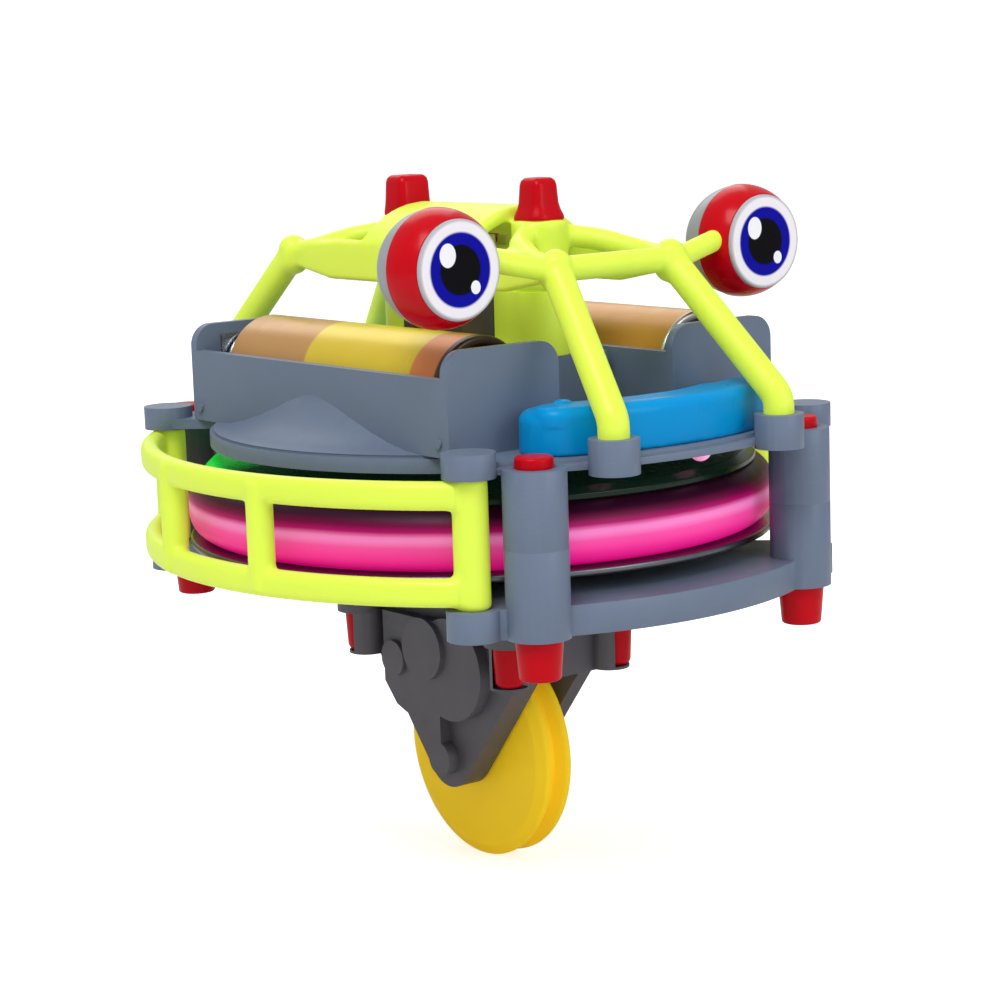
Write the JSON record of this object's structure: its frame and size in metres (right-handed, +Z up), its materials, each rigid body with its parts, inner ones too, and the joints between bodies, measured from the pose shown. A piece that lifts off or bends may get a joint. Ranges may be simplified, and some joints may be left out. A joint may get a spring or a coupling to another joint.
{
  "type": "light-up gyroscope spinning top toy",
  "caption": "Battery gyroscope top: lit flywheel in a posted frame, caged motor with two ball eyes, rolling on a grooved wheel under a gear case.",
  "frame": {"origin": "on the flywheel's spin axis, at the level of the road wheel's lowest point", "axes": "+X forward, the way the eyes look and the wheel rolls; +Y to the toy's left; +Z up along the spin axis"},
  "size_m": [0.0976, 0.0926, 0.0966],
  "materials": {
    "slate_plastic": "satin moulded ABS",
    "neon_plastic": "glossy bright moulded ABS",
    "red_plastic": "glossy moulded ABS",
    "grey_shell": "satin moulded ABS",
    "eye_print": "printed glossy disc",
    "blue_plastic": "glossy moulded ABS",
    "pink_plastic": "translucent glossy moulded plastic",
    "green_plastic": "glossy moulded plastic",
    "yellow_plastic": "moulded plastic",
    "charcoal_plastic": "satin moulded ABS",
    "ivory_plastic": "moulded acetal",
    "black_plastic": "moulded plastic",
    "steel": "plated steel",
    "brass": "turned brass",
    "cell_tan": "printed shrink sleeve",
    "cell_gold": "printed shrink sleeve",
    "board": "lacquered fibreglass board",
    "lamp_lens": "clear tinted epoxy",
    "lead_sleeve": "pvc wire sleeve"
  },
  "bodies": {
    "chassis": {"lower_frame": "slate_plastic", "upper_frame": "slate_plastic", "post_pins": "red_plastic", "right_guard": "neon_plastic", "left_guard": "neon_plastic", "cage": "neon_plastic", "cage_caps": "red_plastic", "tower_front": "neon_plastic", "tower_rear": "neon_plastic", "right_eye_front": "red_plastic", "right_eye_back": "grey_shell", "right_eye_disc": "eye_print", "left_eye_front": "red_plastic", "left_eye_back": "grey_shell", "left_eye_disc": "eye_print", "front_cover": "blue_plastic", "rear_cover": "blue_plastic", "circuit_boards": "board", "leds": "lamp_lens", "switch_body": "steel", "right_cell": "cell_tan", "left_cell": "cell_gold", "contact_springs": "steel", "contact_plates": "steel", "motor_can": "steel", "motor_end_cap": "ivory_plastic", "motor_leads": "lead_sleeve", "upper_bush": "brass", "lower_bush": "brass", "idler_axle": "steel", "cluster_axle": "steel", "gear_case": "charcoal_plastic", "gear_cover": "charcoal_plastic", "gearbox_pegs": "red_plastic", "cover_screws": "steel"},
    "flywheel": {"drive_shaft": "steel", "flywheel_hub": "ivory_plastic", "flywheel_flange": "steel", "flywheel_weight": "steel", "flywheel_rim": "pink_plastic", "flywheel_cover": "green_plastic", "worm": "ivory_plastic"},
    "worm_gear": {"worm_wheel": "ivory_plastic", "first_shaft": "steel", "first_pinion": "ivory_plastic"},
    "idler": {"idler_gear": "ivory_plastic"},
    "cluster": {"gear_cluster": "ivory_plastic"},
    "road_wheel": {"final_gear": "ivory_plastic", "wheel_axle": "steel", "wheel": "yellow_plastic"},
    "switch_knob": {"switch_slider": "black_plastic"}
  },
  "joints": [
    {"name": "flywheel_spin", "type": "hinge", "parent": "chassis", "child": "flywheel", "pos_m": [0, 0, 0.05], "axis": [0, 0, 1], "continuous": true},
    {"name": "worm_gear_spin", "type": "hinge", "parent": "chassis", "child": "worm_gear", "pos_m": [-0.007, 0, 0.03609], "axis": [0, 1, 0], "continuous": true},
    {"name": "idler_spin", "type": "hinge", "parent": "chassis", "child": "idler", "pos_m": [-0.00683, -0.00625, 0.03009], "axis": [0, 1, 0], "continuous": true},
    {"name": "cluster_spin", "type": "hinge", "parent": "chassis", "child": "cluster", "pos_m": [0.002, -0.006, 0.02499], "axis": [0, 1, 0], "continuous": true},
    {"name": "wheel_spin", "type": "hinge", "parent": "chassis", "child": "road_wheel", "pos_m": [0, 0, 0.0156], "axis": [0, 1, 0], "continuous": true},
    {"name": "switch_slide", "type": "slide", "parent": "chassis", "child": "switch_knob", "axis": [0, 1, 0], "range_m": [0, 0.0025]}
  ],
  "couplings": [
    {"joint": "worm_gear_spin", "follows": "flywheel_spin", "ratio": -0.0625},
    {"joint": "idler_spin", "follows": "flywheel_spin", "ratio": 0.0625},
    {"joint": "cluster_spin", "follows": "flywheel_spin", "ratio": -0.026042},
    {"joint": "wheel_spin", "follows": "flywheel_spin", "ratio": 0.038061}
  ]
}
